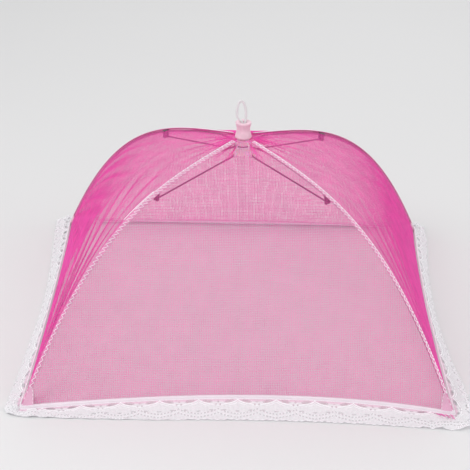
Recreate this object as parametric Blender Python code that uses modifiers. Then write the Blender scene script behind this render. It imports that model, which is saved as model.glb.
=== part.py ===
"""Mesh food cover umbrella: a square tent of fine net on four sprung wire ribs.

The ribs hinge in a hub under the top collar. Four stretchers run from a clip on each rib to a
runner that is pulled up under the hub. The part stands on the table at z = 0, with its axis on z.
"""

import math

import bmesh
import bpy
from mathutils import Matrix, Vector

# Cover, in metres
base_side = 0.430
ridge_top_radius = 0.0168
ridge_top_height = 0.2066
ridge_top_slope = math.radians(10.8)
ridge_top_pull = 0.113
ridge_foot_height = 0.0045
ridge_foot_slope = math.radians(60.4)
ridge_foot_pull = 0.193
ridge_step_share = 1e-4
seating_gap = 0.0003
overrun = 0.002
weld_distance = 1e-6
turn_weld_distance = 1e-5

# Net panels
net_thickness = 0.0008
net_edge_setback = 0.0042
net_clamp_radius = 0.0058
net_clamp_drop = 0.0010
net_rows = 15
net_columns = 10
net_row_crowding = 0.9
hem_pull_in = 0.008
hem_rise = 0.010
hem_fall_off = 5

# Seam tape over each rib
tape_thickness = 0.0008
tape_flange = 0.0062
tape_rows = 26
tape_start_radius = 0.0126
tape_taper_share = 0.26
tape_cross_shares = (-1.0, -0.5, 0.0, 0.5, 1.0)

# Hem band and lace frill
band_width = 0.0055
band_thickness = 0.0010
band_corner_setback = 0.0060
band_columns = 24
lace_thickness = 0.0007
lace_reach = 0.019
lace_clearance = 0.0005
lace_scallops = 11
lace_scallop_depth = 0.0022
lace_ruffle = 0.0016
lace_points_per_scallop = 4
lace_cross_shares = (0.0, 0.25, 0.5, 0.75, 1.0)
lace_drop_shares = (0.0, 0.42, 0.72, 0.92, 1.0)

# Rib wire
rib_wire_radius = 0.0011
rib_points = 26
rib_first_share = 0.055
rib_eye_radius = 0.0023
rib_eye_thickness = 0.0018

# Rib tip cap
cap_radius = 0.0030
cap_length = 0.0110
cap_nose = 0.0062
cap_nose_share = 0.7
cap_flare = 0.0006

# Crown collar
collar_foot_radius = 0.0097
collar_waist_radius = 0.0060
collar_rim_radius = 0.0086
collar_height = 0.0184
collar_lip = 0.0016
collar_waist_share = 0.42
collar_flank_steps = 12
collar_rim_edge_share = 0.86
collar_rim_round_share = 0.4
collar_foot_edge_share = 0.95
collar_foot_round_share = 0.3
collar_dish_share = 0.5
collar_bore_radius = 0.0047
collar_web = 0.0030
collar_mouth_radius = 0.0036

# Crown hub
hub_stem_radius = 0.0044
hub_flange_radius = 0.0080
hub_flange_thickness = 0.0014
hub_arm_radius = 0.0128
hub_bore_radius = 0.0034
hub_slot_width = 0.0026
hub_slot_wall = 0.0011
hub_slot_headroom = 0.0008
pivot_wire_radius = 0.0006
pivot_wire_sides = 8
rib_pivot_radius = 0.0098
rib_pivot_drop = 0.0045
rib_pivot_seat = 0.0040
hub_waist_offset = 0.0122
arm_half_width = 0.0022
arm_top_share = 0.2

# Runner
runner_arm_radius = 0.0156
runner_waist_offset = 0.0145
runner_arm_height = 0.0048
runner_arm_gap = 0.0012
runner_column_radius = 0.0060
runner_column_drop = 0.0018
runner_column_edge_share = 0.85
runner_slot_wall = 0.0025
runner_boss_radius = 0.0028
runner_boss_height = 0.0034
runner_boss_round_share = 0.7
runner_boss_tip_share = 0.8
runner_bore_radius = 0.0013
runner_pivot_radius = 0.0130
saddle_clearance = 0.0004

# Stretcher and rib clip
stretcher_wire_radius = 0.0009
stretcher_joint_radius = 0.1245
stretcher_eye_radius = 0.0022
stretcher_eye_thickness = 0.0017
knuckle_share = 0.75
cross_pin_radius = 0.0006
cross_pin_length = 0.0046
clip_length = 0.0085
clip_wall = 0.0005
clip_drop = 0.0055
clip_cheek = 0.0008
clip_end_setback = 0.0006
clip_shoulder = 0.0007
clip_mouth_share = 0.86
clip_round_steps = 8
rivet_radius = 0.0009
rivet_head_radius = 0.0017
rivet_head_height = 0.0007
rivet_crown_share = 0.8

# Pull loop
loop_cord_radius = 0.0013
loop_route_shares = (
    (0.16, -0.14),
    (0.18, 0.10),
    (0.22, 0.34),
    (0.18, 0.62),
    (0.02, 0.88),
    (-0.20, 1.00),
    (-0.42, 0.93),
    (-0.58, 0.72),
    (-0.64, 0.48),
    (-0.60, 0.26),
    (-0.42, 0.10),
    (-0.18, 0.02),
    (-0.13, -0.14),
)
loop_height = 0.0235
loop_width = 0.0112
loop_smoothing = 3

# Heights that follow from the ones above, from the ridge's top down
net_clamp_height = ridge_top_height - net_clamp_drop
collar_foot_height = net_clamp_height + net_thickness / 2 + seating_gap
hub_flange_top = net_clamp_height - net_thickness / 2 - seating_gap
hub_flange_low = hub_flange_top - hub_flange_thickness
rib_pivot_height = hub_flange_low - rib_pivot_drop
hub_bottom_height = rib_pivot_height - rib_pivot_seat
hub_slot_floor_radius = rib_pivot_radius - rib_eye_radius - hub_slot_wall
runner_pivot_height = hub_bottom_height - runner_arm_gap - runner_arm_height
runner_slot_floor_radius = runner_pivot_radius - stretcher_eye_radius * knuckle_share - runner_slot_wall

quarter_turn = math.pi / 2
corner_names = ("rear_right", "rear_left", "front_left", "front_right")
side_names = ("right", "rear", "left", "front")
round_steps = 24
bore_sides = 20
wire_sides = 16
pin_sides = 10


def clear_scene():
    for item in list(bpy.data.objects):
        bpy.data.objects.remove(item, do_unlink=True)


def make_collection(name):
    collection = bpy.data.collections.new(name)
    bpy.context.scene.collection.children.link(collection)
    return collection


clear_scene()
parts = make_collection("mesh_food_cover_umbrella")
cutters = make_collection("cutters")


def make_material(name, colour, roughness, metallic=0.0):
    material = bpy.data.materials.new(name)
    material.use_nodes = True
    shader = material.node_tree.nodes["Principled BSDF"]
    shader.inputs["Base Color"].default_value = (*colour, 1.0)
    shader.inputs["Roughness"].default_value = roughness
    shader.inputs["Metallic"].default_value = metallic
    return material


pink_net = make_material("pink_net", (0.90, 0.12, 0.42), 0.75)
white_tape = make_material("white_tape", (0.93, 0.72, 0.82), 0.80)
white_lace = make_material("white_lace", (0.90, 0.87, 0.91), 0.85)
pink_plastic = make_material("pink_plastic", (0.93, 0.68, 0.77), 0.35)
white_nylon = make_material("white_nylon", (0.86, 0.84, 0.85), 0.40)
rib_steel = make_material("rib_steel", (0.36, 0.33, 0.35), 0.35, 1.0)
cord_white = make_material("cord_white", (0.92, 0.90, 0.91), 0.80)


# Ridge, the outer line of each rib's seam, as radius and height


def ridge_point(share):
    foot_radius = base_side / math.sqrt(2)
    start = Vector((ridge_top_radius, ridge_top_height))
    end = Vector((foot_radius, ridge_foot_height))
    lead = start + ridge_top_pull * Vector((math.cos(ridge_top_slope), -math.sin(ridge_top_slope)))
    trail = end - ridge_foot_pull * Vector((math.cos(ridge_foot_slope), -math.sin(ridge_foot_slope)))
    rest = 1 - share
    near = rest**3 * start + 3 * rest**2 * share * lead
    return near + 3 * rest * share**2 * trail + share**3 * end


def ridge_tangent(share):
    low = max(share - ridge_step_share, 0)
    high = min(share + ridge_step_share, 1)
    return (ridge_point(high) - ridge_point(low)).normalized()


def ridge_normal(share):
    tangent = ridge_tangent(share)
    return Vector((-tangent.y, tangent.x))


def below_ridge(share, depth):
    return ridge_point(share) - depth * ridge_normal(share)


wire_depth = tape_thickness + seating_gap + clip_wall + seating_gap + rib_wire_radius


def share_at_radius(radius, depth):
    low, high = 0.0, 1.0
    for _ in range(40):
        middle = (low + high) / 2
        if below_ridge(middle, depth).x < radius:
            low = middle
        else:
            high = middle
    return low


clip_share = share_at_radius(stretcher_joint_radius, wire_depth)
stretcher_joint_height = below_ridge(clip_share, wire_depth).y - clip_drop
cap_start_share = 1 - cap_length / (3 * ridge_foot_pull)


# Mesh and curve helpers


def link(item, material=None, collection=None):
    (collection or parts).objects.link(item)
    if material is not None:
        item.data.materials.clear()
        item.data.materials.append(material)
    return item


def mesh_object(name, mesh_data, material=None, collection=None):
    return link(bpy.data.objects.new(name, mesh_data), material, collection)


def finish_bmesh(name, shape):
    mesh_data = bpy.data.meshes.new(name)
    bmesh.ops.recalc_face_normals(shape, faces=shape.faces)
    shape.to_mesh(mesh_data)
    shape.free()
    return mesh_data


def grid_mesh(name, rows):
    """An open sheet through rows of points."""
    shape = bmesh.new()
    placed = [[shape.verts.new(point) for point in row] for row in rows]
    for upper, lower in zip(placed, placed[1:]):
        for column in range(len(upper) - 1):
            corners = (upper[column], lower[column], lower[column + 1], upper[column + 1])
            shape.faces.new(corners)
    return finish_bmesh(name, shape)


def rod_mesh(name, radius, length, axis, centre, sides=pin_sides):
    """A cylinder along the given axis."""
    shape = bmesh.new()
    bmesh.ops.create_cone(
        shape, cap_ends=True, segments=sides, radius1=radius, radius2=radius, depth=length
    )
    turn = Vector((0, 0, 1)).rotation_difference(Vector(axis)).to_matrix().to_4x4()
    bmesh.ops.transform(shape, matrix=Matrix.Translation(centre) @ turn, verts=shape.verts)
    return finish_bmesh(name, shape)


def box_mesh(name, low, high):
    shape = bmesh.new()
    bmesh.ops.create_cube(shape, size=1)
    low, high = Vector(low), Vector(high)
    scale = Matrix.Diagonal((*(high - low), 1))
    bmesh.ops.transform(shape, matrix=Matrix.Translation((low + high) / 2) @ scale, verts=shape.verts)
    return finish_bmesh(name, shape)


def welded(mesh_data, distance=weld_distance):
    shape = bmesh.new()
    shape.from_mesh(mesh_data)
    bmesh.ops.remove_doubles(shape, verts=shape.verts, dist=distance)
    loose = [edge for edge in shape.edges if not edge.link_faces]
    bmesh.ops.delete(shape, geom=loose, context="EDGES")
    bmesh.ops.recalc_face_normals(shape, faces=shape.faces)
    shape.to_mesh(mesh_data)
    shape.free()
    return mesh_data


def plate_mesh(name, outline, half_width):
    """A flat outline of radius and height points, as a plate that lies across the rib's plane."""
    curve = bpy.data.curves.new(name, "CURVE")
    curve.dimensions = "2D"
    curve.fill_mode = "BOTH"
    curve.extrude = half_width
    spline = curve.splines.new("POLY")
    spline.points.add(len(outline) - 1)
    for place, point in zip(spline.points, outline):
        place.co = (*point, 0, 1)
    spline.use_cyclic_u = True
    plate = made_mesh(name, curve)
    plate.transform(Matrix.Rotation(quarter_turn, 4, "X"))
    return welded(plate)


def made_mesh(name, data):
    """The mesh of a curve, or of a mesh as its modifiers leave it."""
    item = bpy.data.objects.new(name, data)
    cutters.objects.link(item)
    result = evaluated_mesh(item, name)
    bpy.data.objects.remove(item, do_unlink=True)
    return result


def turned_mesh(name, profile, steps=round_steps):
    """A closed profile of radius and height points, turned about z."""
    shape = bmesh.new()
    placed = [shape.verts.new((radius, 0, height)) for radius, height in profile]
    for first, second in zip(placed, placed[1:] + placed[:1]):
        shape.edges.new((first, second))
    mesh_data = bpy.data.meshes.new(name)
    shape.to_mesh(mesh_data)
    shape.free()
    item = bpy.data.objects.new(name, mesh_data)
    cutters.objects.link(item)
    turn = item.modifiers.new("turn", "SCREW")
    turn.steps = steps
    turn.render_steps = steps
    turn.use_merge_vertices = True
    turn.merge_threshold = turn_weld_distance
    turned = evaluated_mesh(item, name)
    bpy.data.objects.remove(item, do_unlink=True)
    return welded(turned)


def tube_mesh(name, points, radius):
    """A wire through points, with welded caps."""
    curve = bpy.data.curves.new(name, "CURVE")
    curve.dimensions = "3D"
    curve.bevel_depth = radius
    curve.bevel_resolution = 2
    curve.use_fill_caps = True
    spline = curve.splines.new("POLY")
    spline.points.add(len(points) - 1)
    for place, point in zip(spline.points, points):
        place.co = (*point, 1)
    return welded(made_mesh(name, curve))


def evaluated_mesh(item, name):
    bpy.context.view_layer.update()
    graph = bpy.context.evaluated_depsgraph_get()
    mesh_data = bpy.data.meshes.new_from_object(item.evaluated_get(graph))
    mesh_data.name = name
    return mesh_data


def combined(name, body, joined=(), cut=()):
    """The body mesh with other meshes joined to it and cut from it."""
    base = bpy.data.objects.new(name, body)
    cutters.objects.link(base)
    helpers = []
    for operation, group in (("UNION", joined), ("DIFFERENCE", cut)):
        for mesh_data in group:
            tool = bpy.data.objects.new(mesh_data.name, mesh_data)
            cutters.objects.link(tool)
            helpers.append(tool)
            step = base.modifiers.new(operation, "BOOLEAN")
            step.operation = operation
            step.object = tool
    result = evaluated_mesh(base, name)
    for item in (base, *helpers):
        bpy.data.objects.remove(item, do_unlink=True)
    return result


def shelled(name, sheet, thickness):
    item = bpy.data.objects.new(name, sheet)
    cutters.objects.link(item)
    wall = item.modifiers.new("wall", "SOLIDIFY")
    wall.thickness = thickness
    wall.offset = 0
    result = evaluated_mesh(item, name)
    bpy.data.objects.remove(item, do_unlink=True)
    return result


def smooth(mesh_data):
    mesh_data.shade_smooth()
    mesh_data.set_sharp_from_angle(angle=math.radians(35))
    return mesh_data


# Pivots: one empty on each joint axis, x outward along the rib's diagonal


def pivot(name, radius, height, turn, parent=None):
    empty = bpy.data.objects.new(name, None)
    empty.empty_display_size = cap_radius
    parts.objects.link(empty)
    if parent is None:
        empty.location = (radius * math.cos(turn), radius * math.sin(turn), height)
        empty.rotation_euler = (0, 0, turn)
    else:
        empty.parent = parent
        empty.location = (radius, 0, height)
    return empty


def hang(name, mesh_data, material, parent):
    item = mesh_object(name, mesh_data, material)
    item.parent = parent
    return item


def moved(mesh_data, radius, height):
    mesh_data.transform(Matrix.Translation((-radius, 0, -height)))
    return mesh_data


# Rib, clip, rivet, tip cap and seam tape, in the plane of radius and height


def rib_path():
    points = [(rib_pivot_radius, 0, rib_pivot_height)]
    for index in range(rib_points):
        share = rib_first_share + (1 - rib_first_share) * index / (rib_points - 1)
        place = below_ridge(share, wire_depth)
        points.append((place.x, 0, place.y))
    return points


def rib_mesh():
    wire = tube_mesh("rib_wire", rib_path(), rib_wire_radius)
    centre = (rib_pivot_radius, 0, rib_pivot_height)
    eye = rod_mesh("rib_eye", rib_eye_radius, rib_eye_thickness, (0, 1, 0), centre, wire_sides)
    hole_radius = pivot_wire_radius + seating_gap
    hole_length = rib_eye_thickness + overrun
    hole = rod_mesh("rib_hole", hole_radius, hole_length, (0, 1, 0), centre)
    body = combined("rib", wire, (eye,), (hole,))
    return smooth(moved(body, rib_pivot_radius, rib_pivot_height))


def clip_mesh():
    wire = below_ridge(clip_share, wire_depth)
    tangent = ridge_tangent(clip_share)
    along = (tangent.x, 0, tangent.y)
    centre = (wire.x, 0, wire.y)
    slot_half = rib_wire_radius + seating_gap
    barrel = rod_mesh("barrel", slot_half + clip_wall, clip_length, along, centre, wire_sides)
    slope = math.atan2(-tangent.y, tangent.x)
    outline = cheek_outline(wire)
    cheeks = plate_mesh("cheeks", outline, slot_half + clip_cheek)
    bore = rod_mesh("bore", slot_half, clip_length + overrun, along, centre, wire_sides)
    turn = Matrix.Translation(centre) @ Matrix.Rotation(slope, 4, "Y")
    deep = clip_drop + stretcher_eye_radius + overrun
    half = (clip_length + overrun) / 2
    mouth_half = slot_half * clip_mouth_share
    slot = box_mesh("slot", (-half, -mouth_half, -deep), (half, mouth_half, 0))
    slot.transform(turn)
    joint = (stretcher_joint_radius, 0, stretcher_joint_height)
    hole_length = 2 * (slot_half + clip_cheek) + overrun
    hole = rod_mesh("rivet_hole", rivet_radius + seating_gap, hole_length, (0, 1, 0), joint)
    body = combined("clip", cheeks, (barrel,), (bore, slot, hole))
    return smooth(moved(body, rib_pivot_radius, rib_pivot_height))


def cheek_outline(wire):
    """The clip's side: nearly as long as its barrel at the wire, rounded under the rivet."""
    tangent = ridge_tangent(clip_share)
    half = clip_length / 2 - clip_end_setback
    shoulder = wire + clip_shoulder * ridge_normal(clip_share)
    outer = shoulder + half * tangent
    inner = shoulder - half * tangent
    outline = [(inner.x, inner.y), (outer.x, outer.y)]
    radius = stretcher_eye_radius
    for index in range(clip_round_steps + 1):
        angle = -math.pi * index / clip_round_steps
        x = stretcher_joint_radius + radius * math.cos(angle)
        outline.append((x, stretcher_joint_height + radius * math.sin(angle)))
    return outline


def rivet_mesh():
    half = rib_wire_radius + seating_gap + clip_cheek + seating_gap
    profile = [
        (rivet_head_radius, half),
        (rivet_radius, half),
        (rivet_radius, -half),
        (rivet_head_radius, -half),
        (rivet_head_radius * rivet_crown_share, -half - rivet_head_height),
        (0, -half - rivet_head_height),
        (0, half + rivet_head_height),
        (rivet_head_radius * rivet_crown_share, half + rivet_head_height),
    ]
    body = turned_mesh("rivet", profile, pin_sides)
    body.transform(Matrix.Rotation(quarter_turn, 4, "X"))
    place = (stretcher_joint_radius, 0, stretcher_joint_height)
    body.transform(Matrix.Translation(place))
    return smooth(moved(body, rib_pivot_radius, rib_pivot_height))


def cap_mesh():
    """A tapered shoe over the rib's end, cut flat where it stands."""
    end = below_ridge(1, wire_depth)
    tangent = ridge_tangent(1)
    bore_radius = rib_wire_radius + seating_gap
    profile = [
        (cap_radius - cap_flare, 0),
        (cap_radius, -cap_length / 2),
        (cap_radius, -cap_length),
        (cap_radius * cap_nose_share, -cap_length - cap_nose * cap_nose_share),
        (0, -cap_length - cap_nose),
        (0, -cap_length - seating_gap),
        (bore_radius, -cap_length - seating_gap),
        (bore_radius, 0),
    ]
    shoe = turned_mesh("shoe", profile, wire_sides)
    along = Vector((tangent.x, 0, tangent.y))
    turn = Vector((0, 0, -1)).rotation_difference(along).to_matrix().to_4x4()
    start = Vector((end.x, 0, end.y)) - cap_length * along
    shoe.transform(Matrix.Translation(start) @ turn)
    wide = cap_radius + cap_length
    low = (end.x - wide, -wide, -wide)
    ground = box_mesh("ground", low, (end.x + wide, wide, 0))
    body = combined("rib_tip", shoe, (), (ground,))
    return smooth(moved(body, rib_pivot_radius, rib_pivot_height))


def tape_mesh():
    """A narrow folded strip along the ridge, its two flanges level with the panels beside it."""
    rows = []
    last = cap_start_share - (seating_gap + tape_thickness) / ridge_foot_pull
    for index in range(-1, tape_rows):
        share = max(index, 0) / (tape_rows - 1) * last
        place = ridge_point(share)
        if index < 0:
            back = ridge_top_radius - tape_start_radius
            place = place - back * ridge_tangent(0)
        place = place - tape_thickness / 2 * ridge_normal(share)
        rows.append(tape_row(place))
    sheet = grid_mesh("seam_tape", rows)
    body = shelled("seam_tape", sheet, tape_thickness)
    return moved(smooth(body), rib_pivot_radius, rib_pivot_height)


def tape_row(place):
    widest = min(tape_flange * math.sqrt(0.5), place.x * tape_taper_share)
    row = []
    for share in tape_cross_shares:
        reach = widest * abs(share)
        row.append((place.x - reach, math.copysign(reach, share), place.y))
    return row


# Stretcher


def stretcher_mesh():
    inner = Vector((runner_pivot_radius, 0, runner_pivot_height))
    outer = Vector((stretcher_joint_radius, 0, stretcher_joint_height))
    wire = tube_mesh("stretcher_wire", [inner, outer], stretcher_wire_radius)
    thick = stretcher_eye_thickness
    eye = rod_mesh("outer_eye", stretcher_eye_radius, thick, (0, 1, 0), outer, wire_sides)
    knuckle_radius = stretcher_eye_radius * knuckle_share
    knuckle = rod_mesh("inner_eye", knuckle_radius, thick, (0, 1, 0), inner, wire_sides)
    pin = rod_mesh("cross_pin", cross_pin_radius, cross_pin_length, (0, 1, 0), inner)
    hole = rod_mesh("eye_hole", rivet_radius + seating_gap, thick + overrun, (0, 1, 0), outer)
    body = combined("stretcher", wire, (eye, knuckle, pin), (hole,))
    return smooth(moved(body, stretcher_joint_radius, stretcher_joint_height))


# Crown and runner


def collar_mesh():
    foot = collar_foot_height
    top = foot + collar_height
    profile = [
        (collar_mouth_radius, top - collar_lip * collar_dish_share),
        (collar_rim_radius * collar_rim_edge_share, top),
        (collar_rim_radius, top - collar_lip * collar_rim_round_share),
    ]
    for index in range(collar_flank_steps + 1):
        profile.append(collar_flank(index / collar_flank_steps))
    profile += [
        (collar_foot_radius, foot + collar_lip * collar_foot_round_share),
        (collar_foot_radius * collar_foot_edge_share, foot),
        (collar_bore_radius, foot),
        (collar_bore_radius, top - collar_web),
        (collar_mouth_radius, top - collar_web),
    ]
    return smooth(turned_mesh("crown_collar", profile))


def collar_flank(share):
    """A point on the waisted side, from the rim at 0 to the foot at 1."""
    top = collar_foot_height + collar_height - collar_lip
    height = top - (collar_height - 2 * collar_lip) * share
    waist_height = collar_foot_height + collar_height * collar_waist_share
    if height > waist_height:
        wide, end = collar_rim_radius, top
    else:
        wide, end = collar_foot_radius, collar_foot_height + collar_lip
    flare = (1 - math.cos(math.pi * (height - waist_height) / (end - waist_height))) / 2
    return (collar_waist_radius + (wide - collar_waist_radius) * flare, height)


def arm_star(name, arm_radius, waist_offset, low, high):
    """A round block hollowed between its four arms."""
    middle = (low + high) / 2
    waist_radius = waist_offset * math.sqrt(0.5) - arm_half_width
    block = rod_mesh(name, arm_radius, high - low, (0, 0, 1), (0, 0, middle), round_steps)
    hollows = []
    for index in range(4):
        angle = index * quarter_turn
        x = waist_offset * math.cos(angle)
        y = waist_offset * math.sin(angle)
        tall = high - low + overrun
        hollow = rod_mesh("hollow", waist_radius, tall, (0, 0, 1), (x, y, middle), bore_sides)
        hollows.append(hollow)
    return combined(name, block, (), hollows)


def slot_cutters(floor_radius, reach, low, high):
    found = []
    half = hub_slot_width / 2
    for index in range(4):
        slot = box_mesh("slot", (floor_radius, -half, low), (reach, half, high))
        slot.transform(Matrix.Rotation((index + 0.5) * quarter_turn, 4, "Z"))
        found.append(slot)
    return found


def hub_mesh():
    stem_top = collar_foot_height + collar_height - collar_web - seating_gap
    thick = hub_flange_thickness
    star_top = hub_flange_low + thick * arm_top_share
    star = arm_star("crown_hub", hub_arm_radius, hub_waist_offset, hub_bottom_height, star_top)
    middle = hub_flange_low + thick / 2
    flange = rod_mesh("flange", hub_flange_radius, thick, (0, 0, 1), (0, 0, middle), round_steps)
    stem_tall = stem_top - hub_flange_low
    centre = (0, 0, (stem_top + hub_flange_low) / 2)
    stem = rod_mesh("stem", hub_stem_radius, stem_tall, (0, 0, 1), centre, round_steps)
    whole = stem_top - hub_bottom_height + 2 * overrun
    centre = (0, 0, (stem_top + hub_bottom_height) / 2)
    bore = rod_mesh("bore", hub_bore_radius, whole, (0, 0, 1), centre, bore_sides)
    slot_reach = hub_arm_radius + overrun
    slot_high = rib_pivot_height + rib_eye_radius + hub_slot_headroom
    slots = slot_cutters(hub_slot_floor_radius, slot_reach, hub_bottom_height - overrun, slot_high)
    groove = ring_mesh("groove", rib_pivot_radius, pivot_wire_radius + seating_gap)
    body = combined("crown_hub", star, (flange, stem), (bore, groove, *slots))
    return smooth(body)


def ring_mesh(name, radius, wire_radius):
    profile = []
    for index in range(pivot_wire_sides):
        angle = -2 * math.pi * index / pivot_wire_sides
        height = rib_pivot_height + wire_radius * math.sin(angle)
        profile.append((radius + wire_radius * math.cos(angle), height))
    return turned_mesh(name, profile, 2 * bore_sides)


def runner_mesh():
    low = runner_pivot_height
    high = low + runner_arm_height
    star = arm_star("runner", runner_arm_radius, runner_waist_offset, low, high)
    foot = low - runner_column_drop
    seat = hub_bottom_height - seating_gap
    boss_top = seat + runner_boss_height
    profile = [
        (0, boss_top),
        (runner_boss_radius * runner_boss_tip_share, boss_top),
        (runner_boss_radius, seat + runner_boss_height * runner_boss_round_share),
        (runner_boss_radius, seat),
        (runner_column_radius, seat),
        (runner_column_radius, foot + runner_bore_radius),
        (runner_column_radius * runner_column_edge_share, foot),
        (0, foot),
    ]
    column = turned_mesh("column", profile)
    slot_reach = runner_arm_radius + overrun
    slots = slot_cutters(runner_slot_floor_radius, slot_reach, low - overrun, high + overrun)
    saddles = []
    for index in range(4):
        turn = (index + 0.5) * quarter_turn
        wide = cross_pin_length / 2 + overrun
        reach = cross_pin_radius + saddle_clearance
        near = (runner_pivot_radius - reach, -wide, low - overrun)
        far = (runner_pivot_radius + reach, wide, low + reach)
        saddle = box_mesh("saddle", near, far)
        saddle.transform(Matrix.Rotation(turn, 4, "Z"))
        saddles.append(saddle)
    shaft_tall = boss_top - foot + 2 * overrun
    centre = (0, 0, (boss_top + foot) / 2)
    shaft = rod_mesh("shaft", runner_bore_radius, shaft_tall, (0, 0, 1), centre, bore_sides)
    body = combined("runner", star, (column,), (shaft, *slots, *saddles))
    return smooth(moved(body, 0, runner_pivot_height))


# Pull loop


def loop_route():
    """The loop's points, smoothed between the ones set by hand."""
    base = collar_foot_height + collar_height
    marks = [Vector((x * loop_width, 0, base + z * loop_height)) for x, z in loop_route_shares]
    points = []
    for index in range(len(marks) - 1):
        before = marks[max(index - 1, 0)]
        after = marks[min(index + 2, len(marks) - 1)]
        first, second = marks[index], marks[index + 1]
        for step in range(loop_smoothing):
            share = step / loop_smoothing
            points.append(between(before, first, second, after, share))
    points.append(marks[-1])
    return points


def between(before, first, second, after, share):
    """A point on the smooth curve from first to second."""
    square, cube = share**2, share**3
    start_pull = (second - before) / 2
    end_pull = (after - first) / 2
    place = (2 * cube - 3 * square + 1) * first + (cube - 2 * square + share) * start_pull
    return place + (3 * square - 2 * cube) * second + (cube - square) * end_pull


def loop_mesh():
    points = loop_route()
    length = sum((b - a).length for a, b in zip(points, points[1:]))
    print(f"pull loop: {length * 1000:.1f} mm of cord")
    return smooth(tube_mesh("pull_loop", points, loop_cord_radius))


# Cloth: net panel, hem band and lace, each made for the side that faces +x


def side_point(share, depth):
    """A point of a side's profile, as distance out and height, at a depth under the ridge."""
    place = ridge_point(share)
    tangent = ridge_tangent(share)
    out = Vector((tangent.x * math.sqrt(0.5), tangent.y)).normalized()
    normal = Vector((-out.y, out.x))
    return Vector((place.x * math.sqrt(0.5), place.y)) - depth * normal


def pulled(out, across, height, share):
    """Moves a point in and up where the net's tension lifts the middle of the hem."""
    half_width = ridge_point(share).x * math.sqrt(0.5) - tape_flange
    bump = max(1 - (across / half_width) ** 2, 0) * share**hem_fall_off
    return (out - hem_pull_in * bump, across, height + hem_rise * bump)


net_depth = tape_thickness + seating_gap + net_thickness / 2
band_share = 1 - (band_width + seating_gap) / (3 * ridge_foot_pull)


def net_mesh():
    rows = [clamp_row()]
    for index in range(net_rows):
        share = (index / (net_rows - 1)) ** net_row_crowding * band_share
        place = side_point(share, net_depth)
        setback = band_corner_setback if index == net_rows - 1 else net_edge_setback
        half = ridge_point(share).x * math.sqrt(0.5) - setback
        row = []
        for column in range(net_columns + 1):
            across = half * (2 * column / net_columns - 1)
            row.append(pulled(place.x, across, place.y, share))
        rows.append(row)
    return smooth(shelled("net", grid_mesh("net", rows), net_thickness))


def clamp_row():
    half = net_clamp_radius - 2 * seating_gap
    row = []
    for column in range(net_columns + 1):
        across = half * (2 * column / net_columns - 1)
        row.append((net_clamp_radius, across, net_clamp_height))
    return row


def band_line(share):
    """The hem band's points at a share of the ridge, from corner to corner."""
    place = side_point(share, net_depth)
    half = ridge_point(share).x * math.sqrt(0.5) - band_corner_setback
    line = []
    for column in range(band_columns + 1):
        across = half * (2 * column / band_columns - 1)
        line.append(pulled(place.x, across, place.y, share))
    return line


def band_mesh():
    rows = [band_line(band_share + seating_gap / (3 * ridge_foot_pull)), band_line(1)]
    return smooth(shelled("hem_band", grid_mesh("hem_band", rows), band_thickness))


def lace_row(column, columns):
    """One line of the lace from the band out to the table."""
    share = 2 * column / columns - 1
    inner_half = base_side / 2 - band_corner_setback
    foot = side_point(1, net_depth)
    start = pulled(foot.x, share * inner_half, foot.y, 1)
    phase = 2 * math.pi * lace_scallops * column / columns
    scallop = lace_scallop_depth * (1 - abs(math.cos(phase / 2)))
    reach = base_side / 2 + lace_reach - scallop
    outer_half = base_side / 2 + lace_reach - lace_scallop_depth
    end_across = share * (outer_half - 2 * seating_gap)
    floor = lace_thickness / 2 + lace_clearance
    begin_out = start[0] + band_thickness / 2 + seating_gap + lace_thickness / 2
    row = []
    for cross, drop in zip(lace_cross_shares, lace_drop_shares):
        out = begin_out + (reach - begin_out) * cross
        across = start[1] + (end_across - start[1]) * cross
        lift = lace_ruffle * cross * (1 - math.cos(phase)) / 2
        height = start[2] + (floor - start[2]) * drop + lift
        row.append((out, across, height))
    return row


def lace_mesh():
    columns = lace_scallops * lace_points_per_scallop
    rows = [lace_row(column, columns) for column in range(columns + 1)]
    return smooth(shelled("lace", grid_mesh("lace", rows), lace_thickness))


# Assembly


def build_crown():
    mesh_object("crown_collar", collar_mesh(), pink_plastic)
    mesh_object("crown_hub", hub_mesh(), white_nylon)
    ring = ring_mesh("rib_pivot_ring", rib_pivot_radius, pivot_wire_radius)
    mesh_object("rib_pivot_ring", smooth(ring), rib_steel)
    mesh_object("pull_loop", loop_mesh(), cord_white)


def build_runner():
    slide = pivot("runner_slide", 0, runner_pivot_height, 0)
    hang("runner", runner_mesh(), white_nylon, slide)


def build_ribs():
    rib = rib_mesh()
    clip = clip_mesh()
    rivet = rivet_mesh()
    cap = cap_mesh()
    tape = tape_mesh()
    stretcher = stretcher_mesh()
    joint_out = stretcher_joint_radius - rib_pivot_radius
    joint_up = stretcher_joint_height - rib_pivot_height
    for index, corner in enumerate(corner_names):
        turn = (index + 0.5) * quarter_turn
        hinge = pivot("rib_hinge_" + corner, rib_pivot_radius, rib_pivot_height, turn)
        hang("rib_" + corner, rib, rib_steel, hinge)
        hang("rib_clip_" + corner, clip, rib_steel, hinge)
        hang("clip_rivet_" + corner, rivet, rib_steel, hinge)
        hang("rib_tip_" + corner, cap, pink_plastic, hinge)
        hang("seam_tape_" + corner, tape, white_tape, hinge)
        joint = pivot("stretcher_joint_" + corner, joint_out, joint_up, 0, hinge)
        hang("stretcher_" + corner, stretcher, rib_steel, joint)


def build_cloth():
    net = net_mesh()
    band = band_mesh()
    lace = lace_mesh()
    for index, side in enumerate(side_names):
        turn = (0, 0, index * quarter_turn)
        for name, mesh_data, material in (
            ("net_", net, pink_net),
            ("hem_band_", band, white_tape),
            ("lace_", lace, white_lace),
        ):
            item = mesh_object(name + side, mesh_data, material)
            item.rotation_euler = turn


def main():
    build_crown()
    build_runner()
    build_ribs()
    build_cloth()
    cutters.hide_render = True
    print(f"stretcher joint: radius {stretcher_joint_radius}, height {stretcher_joint_height:.6f}")


main()
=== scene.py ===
"""Dresses the mesh food cover: net, seam tapes, hem, lace, crown, wires, pull loop and a plain stage."""

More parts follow.
